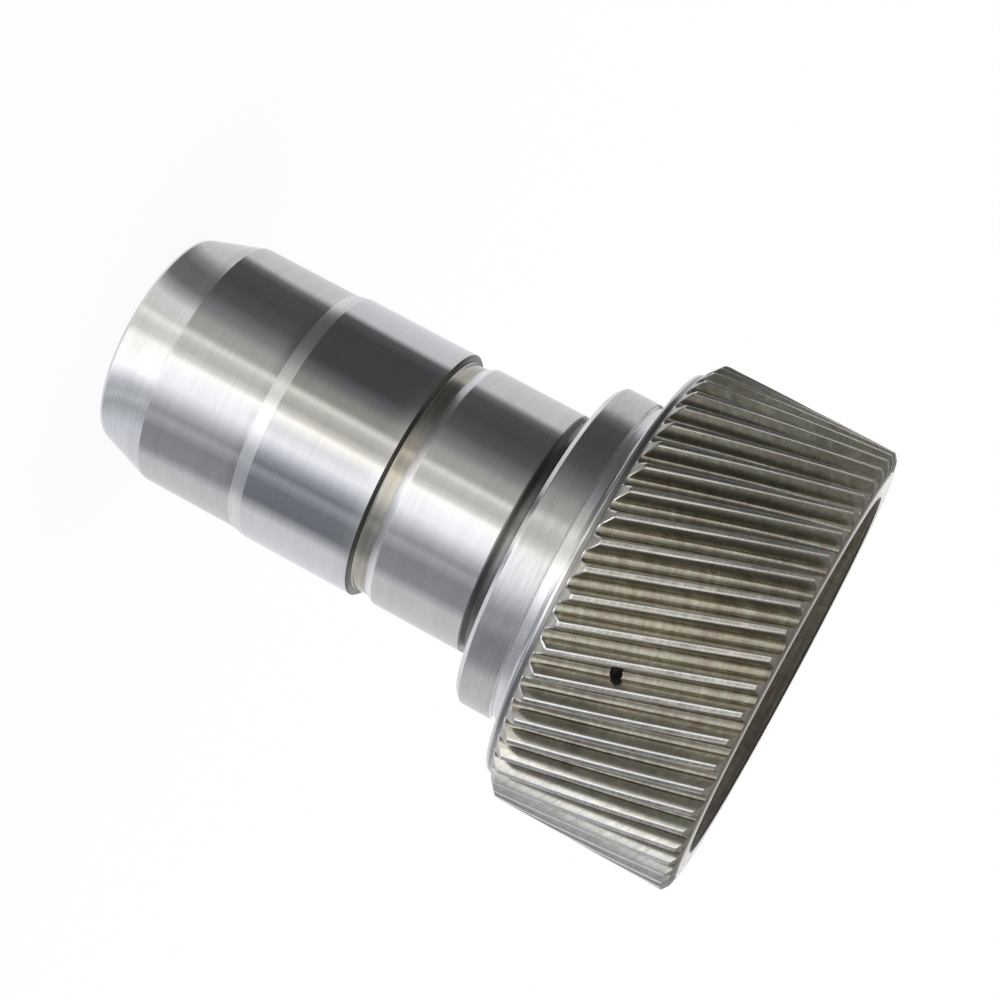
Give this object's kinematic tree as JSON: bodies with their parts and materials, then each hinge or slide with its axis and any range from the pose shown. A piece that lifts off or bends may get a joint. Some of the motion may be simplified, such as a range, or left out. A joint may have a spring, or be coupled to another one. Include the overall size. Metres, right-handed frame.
{
  "type": "splined shaft",
  "caption": "One-piece ground steel shaft with stepped journals, a collar and a large hollow head with left-hand helical teeth.",
  "frame": {"origin": "centre of the flat small end, on the ground plane", "axes": "+Z along the shaft axis from the small end to the toothed head, +X through the oil hole"},
  "size_m": [0.1178, 0.1178, 0.1763],
  "materials": {
    "steel": "ground and turned, lightly oiled"
  },
  "bodies": {
    "root": {"splined_shaft": "steel"}
  },
  "joints": []
}
